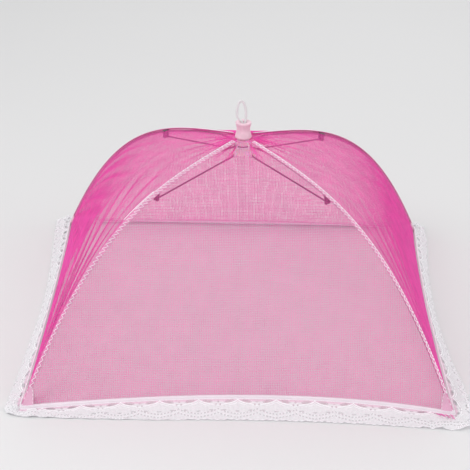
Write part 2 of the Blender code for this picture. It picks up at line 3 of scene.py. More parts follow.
import math
from functools import cache

import bmesh
import bpy
from bpy.props import FloatProperty, FloatVectorProperty, IntProperty, PointerProperty
from bpy.types import Operator, Panel, PropertyGroup
from mathutils import Matrix, Vector


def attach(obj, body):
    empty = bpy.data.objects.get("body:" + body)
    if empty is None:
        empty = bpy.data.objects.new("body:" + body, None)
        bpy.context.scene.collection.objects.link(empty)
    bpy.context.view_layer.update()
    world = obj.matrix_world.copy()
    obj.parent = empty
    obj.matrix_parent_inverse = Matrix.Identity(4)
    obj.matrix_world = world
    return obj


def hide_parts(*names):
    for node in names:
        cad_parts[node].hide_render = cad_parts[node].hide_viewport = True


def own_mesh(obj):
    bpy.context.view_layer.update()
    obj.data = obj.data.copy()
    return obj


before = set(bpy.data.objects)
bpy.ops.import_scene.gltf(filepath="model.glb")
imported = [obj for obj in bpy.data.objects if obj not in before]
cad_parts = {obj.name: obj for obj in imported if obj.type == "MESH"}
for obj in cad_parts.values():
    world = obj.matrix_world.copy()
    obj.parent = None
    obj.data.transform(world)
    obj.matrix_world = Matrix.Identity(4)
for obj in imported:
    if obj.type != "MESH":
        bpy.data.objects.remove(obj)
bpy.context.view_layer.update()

bl_info = {
    "name": "Mesh Food Cover",
    "version": (1, 0, 0),
    "blender": (4, 5, 0),
    "location": "View3D > Sidebar > Food Cover",
    "description": "Net, tapes, hem, lace and crown of a folding food cover on its packed frame",
    "category": "Object",
}

CORNERS = ("rear_right", "rear_left", "front_left", "front_right")
SIDES = ("right", "rear", "left", "front")
QUARTER = math.pi / 2
EIGHTH = math.sqrt(0.5)  # cosine and sine of an eighth turn


def downhill(degrees):
    """The direction outwards and down at a slope."""
    return Vector((math.cos(math.radians(degrees)), -math.sin(math.radians(degrees))))


# The cover's form, in metres: the same ridge curve as the solids
BASE_SIDE = 0.430
TOP_PULL, TOP_SLOPE = 0.113, 10.8
FOOT_PULL, FOOT_SLOPE = 0.193, 60.4
RIDGE_TOP = Vector((0.0168, 0.2066))
RIDGE_FOOT = Vector((BASE_SIDE / math.sqrt(2), 0.0045))
RIDGE_LEAD = RIDGE_TOP + TOP_PULL * downhill(TOP_SLOPE)
RIDGE_TRAIL = RIDGE_FOOT - FOOT_PULL * downhill(FOOT_SLOPE)
NET_DEPTH = 0.0015
HEM_DROP = 0.0032
TAPE_FLANGE = 0.0062
CLAMP_HEIGHT = 0.2056
CLAMP_RADIUS = 0.0062
SEAM_SETBACK = 0.0010
NET_STEPS = 60
HEM_WIDTH = 0.0036
NET_END_SHARE = 1 - HEM_WIDTH / (3 * FOOT_PULL)  # where the hem's band begins
LACE_WIDTH = 0.030
LACE_STEPS = 12
COLLAR_FOOT = CLAMP_HEIGHT + 0.0004 + 0.0003  # over half the solid net and the seating gap
COLLAR_HEIGHT = 0.0184

# Thickness of each cloth, and half of each thread
GROUND_THICKNESS = 0.0002
SEAM_THICKNESS = 0.0003
BAND_THICKNESS = 0.0009
LACE_THICKNESS = 0.0003
OVERLOCK_RADIUS = 0.00036
EDGE_RADIUS = 0.00052
POCKET_STITCH_RADIUS = 0.00028
HEM_STITCH_RADIUS = 0.0002
TUCK_RADIUS = 0.0003

# How each panel's hem runs between its ribs: drawn in, drawn up, and skewed along the panel
HEM_FORMS = {
    "front": (0.0030, 0.0060, 0.30),
    "rear": (0.0060, 0.0050, 0.0),
    "left": (0.0040, 0.0085, 0.0),
    "right": (0.0060, 0.0090, 0.0),
}

# How far the net's corners stand out past the ribs' feet, over the panel before and after the corner
CORNER_REACH = {
    "rear_right": (0.0015, 0.0015),
    "rear_left": (0.0015, 0.0015),
    "front_left": (0.0020, 0.0120),
    "front_right": (0.0060, 0.0015),
}

# How much of the lace lies open before it folds under: at the panel's middle, at the corner, and
# so on to the next panel's middle
LACE_OPEN = {
    "rear_right": (0.58, 0.46, 0.60, 0.72),
    "rear_left": (0.72, 0.60, 0.58, 0.60),
    "front_left": (0.60, 0.50, 0.45, 1.0),
    "front_right": (1.0, 1.0, 0.75, 0.58),
}

# How wide the overlock lies over each seam
SEAM_SHARES = {"rear_right": 0.6, "rear_left": 0.6, "front_left": 1.0, "front_right": 0.72}

# How far down each seam its edge stitches show
EDGE_STITCH_ENDS = {"rear_right": 0.3, "rear_left": 0.3, "front_left": 0.46, "front_right": 0.97}

# Where a seam's fold stands up as a thin white piping
PIPING = {"front_left": (0.36, 0.51)}

# Which side of each rib's seam carries the overlock: the front and the rear panels
OVERLOCK_WING = {"rear_right": 1, "rear_left": -1, "front_left": 1, "front_right": -1}

# How strongly the net is drawn into folds on each panel beside a corner
FOLD_SHARES = {
    ("front_left", -1): 1.0,
    ("rear_left", 1): 0.5,
    ("front_right", 1): 0.14,
    ("rear_right", -1): 0.14,
    ("front_left", 1): 0.0,
    ("front_right", -1): 0.0,
}
REAR_FOLDS = 0.25


def ridge(share):
    """A rib's line from the crown to its foot: distance from the axis, and height."""
    rest = 1 - share
    near = rest**3 * RIDGE_TOP + 3 * rest**2 * share * RIDGE_LEAD
    return near + 3 * rest * share**2 * RIDGE_TRAIL + share**3 * RIDGE_FOOT


def ridge_run(share):
    """Direction of the ridge towards its foot."""
    low, high = max(share - 1e-4, 0), min(share + 1e-4, 1)
    return (ridge(high) - ridge(low)).normalized()


def half_width(share):
    """From a panel's middle to its seam, at a share of the ridge."""
    return ridge(share).x * EIGHTH - SEAM_SETBACK


def panel_line(share):
    """A panel's middle line: how far out it lies, and how high."""
    place = ridge(share)
    return Vector((place.x * EIGHTH, place.y))


def spaced(pitch, steps, place_at):
    """Shares at which a line's places lie a pitch apart."""
    shares, run, before = [], pitch, place_at(0)
    for index in range(1, steps + 1):
        place = place_at(index / steps)
        run += (place - before).length
        before = place
        if run >= pitch:
            run -= pitch
            shares.append(index / steps)
    return shares


def corner_turn(corner):
    """The corner's direction from the axis, in radians."""
    return (CORNERS.index(corner) + 0.5) * QUARTER


def turned(corner, point):
    """A point of the corner's own frame, x out along its diagonal, in the cover's frame."""
    return Matrix.Rotation(corner_turn(corner), 3, "Z") @ Vector(point)


def wing_point(corner, wing, share, across, depth=NET_DEPTH):
    """A point of the net on one side of a rib: across is measured from the panel's middle."""
    place = ridge(share)
    run = ridge_run(share)
    slope = Vector((run.x * EIGHTH, run.y)).normalized()
    out = place.x * EIGHTH + slope.y * depth
    height = place.y - slope.x * depth
    pull, rise, skew = HEM_FORMS[panel_of(corner, wing)]
    part = min(across / (place.x * EIGHTH - TAPE_FLANGE), 1)
    mark = -wing * part - skew * (1 - part**2)
    bump = max(1 - mark**2, 0) * share**5
    low = share**16 * part**2
    here, beyond = CORNER_REACH[corner][:: wing * -1]
    out += here * low - pull * bump
    height += rise * bump - HEM_DROP * low
    return wing_place(corner, wing, out, across + beyond * low, height)


def panel_of(corner, wing):
    """The side whose panel lies before the corner, or after it."""
    return SIDES[(CORNERS.index(corner) + (1 if wing > 0 else 0)) % 4]


def wing_place(corner, wing, out, across, height):
    """A point by its distance out from the axis and across from the panel's middle."""
    x = (out + across) * EIGHTH
    y = (out - across) * EIGHTH * wing
    return turned(corner, (x, y, height))


# Shader maths


def math_step(name, turned_round=False):
    """A method that puts this signal and another value through a Math node."""

    def act(self, other):
        pair = (other, self) if turned_round else (self, other)
        return self.sum(name, *pair)

    return act


class Signal:
    """A number that varies over a surface, and takes part in arithmetic."""

    def __init__(self, finish, socket):
        self.finish = finish
        self.socket = socket

    def sum(self, operation, first, second=None, third=None):
        values = [value for value in (first, second, third) if value is not None]
        node = self.finish.node("ShaderNodeMath", {"operation": operation}, values)
        return Signal(self.finish, node.outputs[0])

    __add__, __radd__ = math_step("ADD"), math_step("ADD", True)
    __sub__, __rsub__ = math_step("SUBTRACT"), math_step("SUBTRACT", True)
    __mul__, __rmul__ = math_step("MULTIPLY"), math_step("MULTIPLY", True)
    __truediv__, __rtruediv__ = math_step("DIVIDE"), math_step("DIVIDE", True)
    most, power = math_step("MAXIMUM"), math_step("POWER")

    def __abs__(self):
        return self.sum("ABSOLUTE", self)

    def sine(self):
        return self.sum("SINE", self)

    def wrap(self, pitch):
        """The distance from the nearest multiple of the pitch."""
        return abs(self.sum("WRAP", self, pitch / 2, -pitch / 2))

    def band(self, low, high):
        """0 at low and under, 1 at high and over, smooth between."""
        node = self.finish.node(
            "ShaderNodeMapRange",
            {"interpolation_type": "SMOOTHSTEP"},
            [self, low, high, 0.0, 1.0],
        )
        return Signal(self.finish, node.outputs[0])


class Finish:
    """One material, built up from its Principled shader."""

    def __init__(self, name):
        self.material = bpy.data.materials.new(name)
        self.material.use_nodes = True
        self.tree = self.material.node_tree
        self.shader = self.tree.nodes["Principled BSDF"]

    def node(self, kind, settings=None, values=()):
        """A node, its settings made first, with numbers, colours or other nodes' outputs in its sockets."""
        node = self.tree.nodes.new(kind)
        for name, value in (settings or {}).items():
            setattr(node, name, value)
        pairs = values.items() if isinstance(values, dict) else enumerate(values)
        for place, value in pairs:
            self.feed(node.inputs[place], value)
        return node

    def feed(self, socket, value):
        if isinstance(value, Signal):
            value = value.socket
        if isinstance(value, bpy.types.NodeSocket):
            self.tree.links.new(value, socket)
        else:
            socket.default_value = value

    def set(self, **values):
        for name, value in values.items():
            self.feed(self.shader.inputs[name.replace("_", " ")], value)

    def place(self):
        """The surface's place on the object, in metres."""
        return self.node("ShaderNodeTexCoord").outputs["Object"]

    def along(self):
        """The two ways over a cloth, in metres, from its own map."""
        return self.parts(self.node("ShaderNodeUVMap", {"uv_map": "UVMap"}).outputs["UV"])[:2]

    def parts(self, vector):
        """The x, y and z of a place or a map."""
        split = self.node("ShaderNodeSeparateXYZ", {}, [vector])
        return [Signal(self, socket) for socket in split.outputs]

    def noise(self, scale, detail):
        values = {"Vector": self.place(), "Scale": scale, "Detail": detail}
        node = self.node("ShaderNodeTexNoise", {}, values)
        return Signal(self, node.outputs["Fac"])

    def mix(self, share, first, second):
        """From the first colour to the second."""
        node = self.node("ShaderNodeMix", {"data_type": "RGBA"})
        self.feed(node.inputs["Factor"], share)
        for place, value in (("A", first), ("B", second)):
            socket = [item for item in node.inputs if item.name == place and item.type == "RGBA"][0]
            self.feed(socket, value)
        return [item for item in node.outputs if item.type == "RGBA"][0]

    def relief(self, height, strength, distance):
        values = {"Height": height, "Strength": strength, "Distance": distance}
        self.set(Normal=self.node("ShaderNodeBump", {}, values).outputs["Normal"])


def opaque(colour, value=1.0):
    """A colour, given or by its name among the cover's colours, times a value."""
    if isinstance(colour, str):
        colour = getattr(bpy.context.scene.cover_colours, colour)
    return (colour[0] * value, colour[1] * value, colour[2] * value, 1.0)


# Each finish is made once, when the first piece asks for it

NYLON, NYLON_SHADE = (0.94, 0.91, 0.93), (0.86, 0.83, 0.85)
# CORD_SHADE is the painted shade in the grooves of the braid.
CORD_WHITE, CORD_SHADE = (0.97, 0.96, 0.97), (0.88, 0.86, 0.88)
WIRE_DARK, WIRE_PALE = (0.11, 0.09, 0.10), (0.20, 0.17, 0.18)
COATED_DARK, COATED_PALE = (0.36, 0.20, 0.28), (0.48, 0.29, 0.38)
SEAM_MESH = 0.0009
BAND_WEAVE = 0.0007
CORD_AROUND, CORD_ALONG = 37.7, 2600.0  # radians of braid round the cord, and for each metre of it


@cache
def net_finish():
    """Hot pink polyester thread, a little uneven in its dye."""
    finish = Finish("pink_net_thread")
    tone = finish.noise(60.0, 3.0)
    colour = finish.mix(tone.band(0.3, 0.7), opaque("net", 0.9), opaque("net", 1.06))
    finish.set(Base_Color=colour, Roughness=0.55 + tone * 0.2)
    return finish.material


@cache
def ground_finish():
    """Nearly clear film of hair-fine cross threads, drawn together in pleats at the collar."""
    finish = Finish("pink_net_ground")
    tone = finish.noise(90.0, 3.0)
    colour = finish.mix(tone, opaque("net", 0.92), opaque("net", 1.05))
    x, y, _ = finish.parts(finish.place())
    radius = (x * x + y * y).power(0.5)
    angle = y.sum("ARCTAN2", y, x)
    pleat = (angle * 23.0 + tone * 5.0).sine().band(-0.5, 0.9)
    near = 1.0 - radius.band(0.012, 0.062)
    beside = abs(x).band(0.004, 0.010).most(y.band(-0.004, 0.002))
    cover = near * (0.14 + pleat * 0.50) * beside
    finish.set(Base_Color=colour, Roughness=0.7, Alpha=(0.03 + tone * 0.05).most(cover))
    return finish.material


@cache
def seam_finish(name="folded_net_seam", towards="net", share=0.0):
    """Folded net: the seam's pale pink, or so far towards another colour of the cover."""
    colours = bpy.context.scene.cover_colours
    other = getattr(colours, towards)
    dye = tuple(pale + share * (goal - pale) for pale, goal in zip(colours.tape, other))
    finish = Finish(name)
    along, across = finish.along()
    half = SEAM_MESH / 2
    threads = (along.wrap(SEAM_MESH) / half).most(across.wrap(SEAM_MESH) / half)
    cover = threads.band(0.35, 0.75)
    cloud = finish.noise(70.0, 3.0)
    colour = finish.mix(cloud.band(0.3, 0.7), opaque(dye), opaque(dye, 0.88))
    finish.set(Base_Color=colour, Roughness=0.75, Alpha=0.55 + cover * 0.33)
    finish.relief(threads, 0.5, 0.0003)
    return finish.material


@cache
def band_finish():
    """White woven binding that lets some light through, with painted shade in its weave and a painted glow.
    """
    finish = Finish("white_hem_binding")
    along, across = finish.along()
    threads = along.wrap(BAND_WEAVE) / BAND_WEAVE + across.wrap(BAND_WEAVE) / BAND_WEAVE
    cloud = finish.noise(35.0, 3.0)
    # Painted shade: the band is darker in the hollows between its threads.
    shade = finish.mix(threads.band(0.2, 0.9), opaque("band"), opaque("band", 0.86))
    finish.set(Base_Color=finish.mix(cloud.band(0.35, 0.75), shade, opaque("band", 0.92)))
    finish.set(Roughness=0.7 + cloud * 0.2)
    finish.relief(threads, 0.6, 0.0003)
    finish.set(Subsurface_Weight=0.6, Subsurface_Radius=(1.0, 1.0, 1.0), Subsurface_Scale=0.003)
    # Painted glow: the band gives off a little light of its own, to brighten it where it lies in shade.
    finish.set(Emission_Color=opaque("band"), Emission_Strength=0.08)
    return finish.material


@cache
def lace_finish():
    """White raschel lace: a fine ground, peaks with leaf openings, eyelets and a scalloped edge."""
    finish = Finish("white_lace")
    along, down = finish.along()
    motif = bpy.context.scene.cover_sizes.lace_motif
    side = along.wrap(motif)

    def oval(left, top, wide, high, soft=(0.55, 1.1)):
        """1 inside an opening, 0 outside, by the distances from its middle."""
        left, top = left / wide, top / high
        return 1.0 - (left * left + top * top).band(*soft)

    def line(distance, inner, outer):
        """1 on a line, 0 past its outer edge."""
        return 1.0 - distance.band(inner, outer)

    # The ground's slanted mesh, and the peaks with a second line under each
    ground = (along.wrap(0.0013) / 0.00065).most((down + along * 0.5).wrap(0.0011) / 0.00055)
    net = ground.band(0.45, 0.85)
    rise = (side / motif * 2.0).power(0.5) * 0.0072
    stem = line(abs(down - (0.0012 + rise)), 0.0005, 0.0011)
    under = line(abs(down - (0.0036 + rise)), 0.0003, 0.0008)
    stem = stem.most(under * line(side, 0.0085, 0.0125))

    # The garland that sags between the peaks, the header and the edge
    sag = side / motif
    garland = abs(down - (0.0215 - sag * sag * 0.026))
    header = line(down, 0.0008, 0.0016)
    edge = line(abs(down - 0.0272), 0.0006, 0.0013)
    dense = header.most(stem * 0.9).most(line(garland, 0.0005, 0.0012) * 0.5).most(edge * 0.8)

    # Openings: a leaf beside each peak, eyelets between them, slits and a row of dots
    leaf = oval(side - 0.0088, down - (0.0037 + (side - 0.0088) * 0.16), 0.0052, 0.0019)
    eye = oval(side - motif / 2, down - 0.0042, 0.0011, 0.0011)
    eye = eye.most(oval(side - (motif / 2 - 0.0022), down - 0.0074, 0.0010, 0.0011))
    slit = oval(along.wrap(motif / 3), down - (0.0158 - sag * 0.004), 0.0024, 0.0008, (0.6, 1.1))
    dots = line(along.wrap(0.0033) / 0.0010, 0.6, 1.2) * line(abs(garland - 0.0024) / 0.0009, 0.6, 1.2)
    holes = leaf.most(eye).most(slit * 0.8).most(dots * 0.6)

    flaw = finish.noise(420.0, 3.0)
    cover = (0.40 + net * 0.30 + flaw * 0.16).most(dense) * (1.0 - holes * 0.93)
    scallop = down - (0.0284 - 0.0016 * (along.wrap(motif / 6) / (motif / 12)))
    cover = cover * line(scallop, -0.0002, 0.0003)
    cloud = finish.noise(45.0, 3.0)
    colour = finish.mix(dense, opaque("lace", 0.97), opaque("lace", 1.03))
    front = line(finish.parts(finish.place())[1], -0.18, 0.10)
    tint = line(down, 0.0024, 0.0056) * (1.0 - dense) * front * 0.5
    colour = finish.mix(tint, colour, opaque("tape", 0.85))
    finish.set(Base_Color=colour, Roughness=0.75 + cloud * 0.15, Alpha=cover)
    # Painted glow: the lace gives off a little light of its own, to lift it out of its shadow.
    finish.set(Emission_Color=opaque("lace"), Emission_Strength=0.08)
    finish.relief(net * 0.5 + dense, 0.6, 0.0004)
    return finish.material


@cache
def stitch_finish():
    """White sewing thread, twisted, with a painted glow."""
    finish = Finish("white_sewing_thread")
    twist = finish.noise(900.0, 1.0)
    shade = finish.mix(twist, opaque("thread", 0.92), opaque("thread"))
    finish.set(Base_Color=shade, Roughness=0.6 + twist * 0.15)
    # Painted glow: the thread gives off a little light of its own, to keep it bright where it lies in
    # shade.
    finish.set(Emission_Color=opaque("thread"), Emission_Strength=0.10)
    return finish.material


@cache
def plastic_finish():
    """Pale pink moulded plastic with fine moulding grain and scuffs."""
    finish = Finish("pale_pink_plastic")
    cloud = finish.noise(180.0, 3.0)
    grain = finish.noise(1800.0, 2.0)
    colour = finish.mix(cloud.band(0.35, 0.7), opaque("plastic"), opaque("plastic", 0.9))
    finish.set(Base_Color=colour, Roughness=0.32 + cloud * 0.18)
    finish.relief(grain, 0.12, 0.0003)
    return finish.material


@cache
def nylon_finish():
    """White translucent nylon with moulding grain, and a painted glow."""
    finish = Finish("white_nylon_moulding")
    cloud = finish.noise(150.0, 3.0)
    grain = finish.noise(1500.0, 2.0)
    colour = finish.mix(cloud, opaque(NYLON_SHADE), opaque(NYLON))
    finish.set(Base_Color=colour, Roughness=0.35 + cloud * 0.15)
    finish.set(Subsurface_Weight=0.7, Subsurface_Scale=0.006)
    # Painted glow: the hub and runner give off a little light of their own, to brighten them in the shade
    # behind the net.
    finish.set(Emission_Color=opaque(NYLON), Emission_Strength=0.12)
    finish.relief(grain, 0.10, 0.0003)
    return finish.material


@cache
def wire_finish(name="dark_spring_wire", dark=WIRE_DARK, pale=WIRE_PALE):
    """Drawn spring wire with draw marks."""
    finish = Finish(name)
    marks = finish.noise(700.0, 4.0)
    cloud = finish.noise(90.0, 2.0)
    colour = finish.mix(marks, opaque(dark), opaque(pale))
    finish.set(Base_Color=colour, Metallic=0.85, Roughness=0.32 + cloud * 0.2)
    finish.relief(marks, 0.15, 0.0002)
    return finish.material


@cache
def cord_finish():
    """White braided cord: slanted strands along its own map."""
    finish = Finish("white_braid")
    around, along = finish.along()
    turns, run = around * CORD_AROUND, along * CORD_ALONG
    strands = (turns + run).sine() * (turns - run).sine()
    # Painted shade: the cord is darker in the grooves between its strands.
    colour = finish.mix(strands.band(-0.8, 0.8), opaque(CORD_SHADE), opaque(CORD_WHITE))
    finish.set(Base_Color=colour, Roughness=0.8)
    finish.relief(strands, 0.6, 0.0004)
    return finish.material


# Mesh helpers


def alone(item):
    """Only this object is selected and active."""
    bpy.ops.object.select_all(action="DESELECT")
    item.select_set(True)
    bpy.context.view_layer.objects.active = item


def dress(item, material):
    """Gives a piece its finish."""
    item.data.materials.clear()
    item.data.materials.append(material)


def fold_with(item, corner):
    """Ride on the corner's rib as the cover folds."""
    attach(item, "rib_" + corner)
    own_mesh(item)


def sewn(item, material, corner):
    """A soft piece with its finish and fold."""
    dress(item, material)
    fold_with(item, corner)
    return item


def weld(item, cap=False):
    """Merges doubles and turns the faces outwards, and closes open ends where asked."""
    alone(item)
    bpy.ops.object.mode_set(mode="EDIT")
    bpy.ops.mesh.select_all(action="SELECT")
    bpy.ops.mesh.remove_doubles(threshold=1e-6)
    if cap:
        bpy.ops.mesh.select_non_manifold()
        bpy.ops.mesh.edge_face_add()
        bpy.ops.mesh.select_all(action="SELECT")
    bpy.ops.mesh.normals_make_consistent(inside=False)
    bpy.ops.object.mode_set(mode="OBJECT")


def tubes(name, lines, radius, sides=0, caps=True):
    """Threads through lines of points, as one mesh."""
    curve = bpy.data.curves.new(name, "CURVE")
    curve.dimensions = "3D"
    curve.bevel_depth = radius
    curve.bevel_resolution = sides
    curve.use_fill_caps = caps
    for line in lines:
        spline = curve.splines.new("POLY")
        spline.points.add(len(line) - 1)
        for place, point in zip(spline.points, line):
            place.co = (*point, 1)
    item = bpy.data.objects.new(name, curve)
    bpy.context.scene.collection.objects.link(item)
    alone(item)
    bpy.ops.object.convert(target="MESH")
    item = bpy.context.object
    item.name = name
    weld(item)
    bpy.ops.object.shade_smooth()
    return item


def cloth(name, rows, lengths, thickness):
    """A cloth through rows of points, with a map in metres, and a wall where it has a thickness."""
    shape = bmesh.new()
    layer = shape.loops.layers.uv.new("UVMap")
    placed = [[shape.verts.new(point) for point in row] for row in rows]
    for index, (upper, lower) in enumerate(zip(placed, placed[1:])):
        for column in range(len(upper) - 1):
            face = shape.faces.new((upper[column], lower[column], lower[column + 1], upper[column + 1]))
            above, below = lengths[index], lengths[index + 1]
            marks = (above[column], below[column], below[column + 1], above[column + 1])
            for loop, mark in zip(face.loops, marks):
                loop[layer].uv = mark
    mesh = bpy.data.meshes.new(name)
    shape.to_mesh(mesh)
    shape.free()
    item = bpy.data.objects.new(name, mesh)
    bpy.context.scene.collection.objects.link(item)
    alone(item)
    if thickness:
        wall = item.modifiers.new("thickness", "SOLIDIFY")
        wall.thickness = thickness
        wall.offset = 0
        bpy.ops.object.modifier_apply(modifier=wall.name)
    bpy.ops.object.shade_smooth_by_angle(angle=math.radians(70))
    return item


# Sizes and colours a user would change


class CoverSizes(PropertyGroup):
    thread_pitch: FloatProperty(
        name="Thread pitch", description="Between threads of the net", default=0.0018, unit="LENGTH"
    )
    thread_radius: FloatProperty(
        name="Thread radius", description="Half a net thread", default=0.00013, unit="LENGTH"
    )
    cord_diameter: FloatProperty(
        name="Cord diameter", description="Thickness of the pull loop", default=0.0026, unit="LENGTH"
    )
    gather_folds: IntProperty(
        name="Gathers", description="Folds of the net round the collar", default=26
    )
    gather_depth: FloatProperty(
        name="Gather depth", description="Height of the folds at the collar", default=0.0022, unit="LENGTH"
    )
    tape_width: FloatProperty(
        name="Seam width", description="Width of a seam and its overlock", default=0.0055, unit="LENGTH"
    )
    stitch_pitch: FloatProperty(
        name="Stitch pitch", description="Between overlock stitches", default=0.0056, unit="LENGTH"
    )
    lace_motif: FloatProperty(
        name="Lace motif", description="Length of the lace's repeat", default=0.039, unit="LENGTH"
    )


class CoverColours(PropertyGroup):
    net: FloatVectorProperty(
        name="Net", description="Dye of the net", subtype="COLOR", default=(0.94, 0.085, 0.47)
    )
    tape: FloatVectorProperty(
        name="Seam", description="Folded net of the seams", subtype="COLOR", default=(1.0, 0.40, 0.68)
    )
    band: FloatVectorProperty(
        name="Band", description="Binding of the hem", subtype="COLOR", default=(0.92, 0.82, 0.90)
    )
    lace: FloatVectorProperty(
        name="Lace", description="Thread of the lace", subtype="COLOR", default=(0.93, 0.92, 0.945)
    )
    thread: FloatVectorProperty(
        name="Thread", description="Sewing thread", subtype="COLOR", default=(0.97, 0.90, 0.96)
    )
    plastic: FloatVectorProperty(
        name="Plastic", description="Collar and rib tips", subtype="COLOR", default=(0.90, 0.62, 0.72)
    )
    floor: FloatVectorProperty(
        name="Floor", description="Floor under the cover", subtype="COLOR", default=(0.80, 0.80, 0.805)
    )


# Stage

# The camera of the photograph: its place, its yaw, pitch and roll in degrees, and its focal length
CAMERA_PLACE = (0.0048, -1.521, 0.8085)
CAMERA_TURNS = (-0.45, 25.27, 0.93)
SENSOR_WIDTH = 36
FOCAL_SHARE = 1522 / 470

# Name, place, power and size of each area light
LIGHTS = (
    ("key", (-0.9, -0.9, 1.5), 13.0, 1.0),
    ("fill", (1.2, -0.6, 1.0), 4.0, 1.2),
    ("back", (0.4, 1.3, 1.4), 5.0, 1.2),
)
WORLD_STRENGTH = 0.62
BACKDROP = (0.93, 0.93, 0.93, 1)


class COVER_OT_stage(Operator):
    """Add the camera, the lights and the pale floor"""

    bl_idname = "cover.stage"
    bl_label = "Stage"

    def execute(self, context):
        self.add_camera(context)
        self.add_floor(context)
        self.add_world(context)
        self.add_lights(context)
        context.scene.view_settings.view_transform = "Standard"
        return {"FINISHED"}

    def add_camera(self, context):
        yaw, pitch, roll = (math.radians(turn) for turn in CAMERA_TURNS)
        level = math.cos(pitch)
        ahead = Vector((math.sin(yaw) * level, math.cos(yaw) * level, -math.sin(pitch)))
        right = Vector((math.cos(yaw), -math.sin(yaw), 0))
        up = right.cross(ahead)
        across = right * math.cos(roll) + up * math.sin(roll)
        upright = up * math.cos(roll) - right * math.sin(roll)
        facing = Matrix((across, upright, -ahead)).transposed().to_euler()
        bpy.ops.object.camera_add(location=CAMERA_PLACE, rotation=facing)
        camera = context.object
        camera.name = "camera"
        camera.data.sensor_width = SENSOR_WIDTH
        camera.data.lens = SENSOR_WIDTH * FOCAL_SHARE
        context.scene.camera = camera

    def add_floor(self, context):
        bpy.ops.mesh.primitive_plane_add(size=8, location=(0, 0, 0))
        floor = context.object
        floor.name = "floor"
        finish = Finish("pale_floor")
        cloud = finish.noise(3.0, 2.0)
        finish.set(Base_Color=finish.mix(cloud, opaque("floor"), opaque("floor", 0.985)), Roughness=0.9)
        floor.data.materials.append(finish.material)

    def add_world(self, context):
        """Soft light from all around, and a plain backdrop for the camera, gloss and clear pieces."""
        world = bpy.data.worlds.new("studio")
        context.scene.world = world
        world.use_nodes = True
        nodes, link = world.node_tree.nodes, world.node_tree.links.new
        soft = nodes["Background"]
        soft.inputs["Color"].default_value = (1, 1, 1, 1)
        soft.inputs["Strength"].default_value = WORLD_STRENGTH
        bright = nodes.new("ShaderNodeBackground")
        bright.inputs["Color"].default_value = BACKDROP
        rays = nodes.new("ShaderNodeLightPath").outputs
        seen = rays["Is Camera Ray"]
        for ray in ("Is Glossy Ray", "Is Transmission Ray"):
            either = nodes.new("ShaderNodeMath")
            either.operation = "MAXIMUM"
            link(seen, either.inputs[0])
            link(rays[ray], either.inputs[1])
            seen = either.outputs[0]
        blend = nodes.new("ShaderNodeMixShader")
        for socket, source in zip(blend.inputs, (seen, soft.outputs[0], bright.outputs[0])):
            link(source, socket)
        link(blend.outputs[0], nodes["World Output"].inputs["Surface"])

    def add_lights(self, context):
        for name, place, power, size in LIGHTS:
            bpy.ops.object.light_add(type="AREA", location=place)
            light = context.object
            light.name = name + "_light"
            light.data.energy = power
            light.data.size = size
            light.rotation_euler = Vector(place).to_track_quat("Z", "Y").to_euler()


# Pull loop

# The cord's route in shares of the loop's width and height, out of the collar's hole and back
LOOP_MARKS = (
    (0.16, -0.14),
    (0.18, 0.10),
    (0.22, 0.34),
    (0.18, 0.62),
    (0.02, 0.88),
    (-0.20, 1.00),
    (-0.42, 0.93),
    (-0.58, 0.72),
    (-0.64, 0.48),
    (-0.60, 0.26),
    (-0.42, 0.10),
    (-0.18, 0.02),
    (-0.13, -0.14),
)
LOOP_BASE = COLLAR_FOOT + COLLAR_HEIGHT
LOOP_WIDTH = 0.0112
LOOP_HEIGHT = 0.0235
CORD_SIDES = 12


def loop_route(steps=4):
    """A smooth curve through the loop's marks."""
    marks = [Vector((x * LOOP_WIDTH, 0, LOOP_BASE + z * LOOP_HEIGHT)) for x, z in LOOP_MARKS]
    points = []
    for index in range(len(marks) - 1):
        before, after = marks[max(index - 1, 0)], marks[min(index + 2, len(marks) - 1)]
        first, second = marks[index], marks[index + 1]
        for step in range(steps):
            share = step / steps
            square, cube = share**2, share**3
            place = (2 * cube - 3 * square + 1) * first
            place += (cube - 2 * square + share) * (second - before) / 2
            place += (3 * square - 2 * cube) * second + (cube - square) * (after - first) / 2
            points.append(place)
    points.append(marks[-1])
    return points


class COVER_OT_pull_loop(Operator):
    """Make the white cord loop on the crown"""

    bl_idname = "cover.pull_loop"
    bl_label = "Pull Loop"

    def execute(self, context):
        diameter = context.scene.cover_sizes.cord_diameter
        points = loop_route()
        side = Vector((0, 1, 0))
        rows, marks = [], []
        length = 0.0
        for index, point in enumerate(points):
            before, after = points[max(index - 1, 0)], points[min(index + 1, len(points) - 1)]
            top = side.cross((after - before).normalized())
            if index:
                length += (point - points[index - 1]).length
            row, mark = [], []
            for turn in range(CORD_SIDES + 1):
                angle = 2 * math.pi * turn / CORD_SIDES
                reach = math.cos(angle) * side + math.sin(angle) * top
                row.append(point + diameter / 2 * reach)
                mark.append((turn / CORD_SIDES, length))
            rows.append(row)
            marks.append(mark)
        item = cloth("pull_loop_cord", rows, marks, 0)
        weld(item, cap=True)
        dress(item, cord_finish())
        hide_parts("pull_loop")
        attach(item, "crown")
        return {"FINISHED"}


# Collar

COLLAR_WAIST = 0.0072
COLLAR_RIM = 0.0086
COLLAR_BASE = 0.0090
COLLAR_LIP = 0.0014
COLLAR_HEEL = 0.0016
COLLAR_MOUTH = 0.0036
COLLAR_BORE = 0.0047


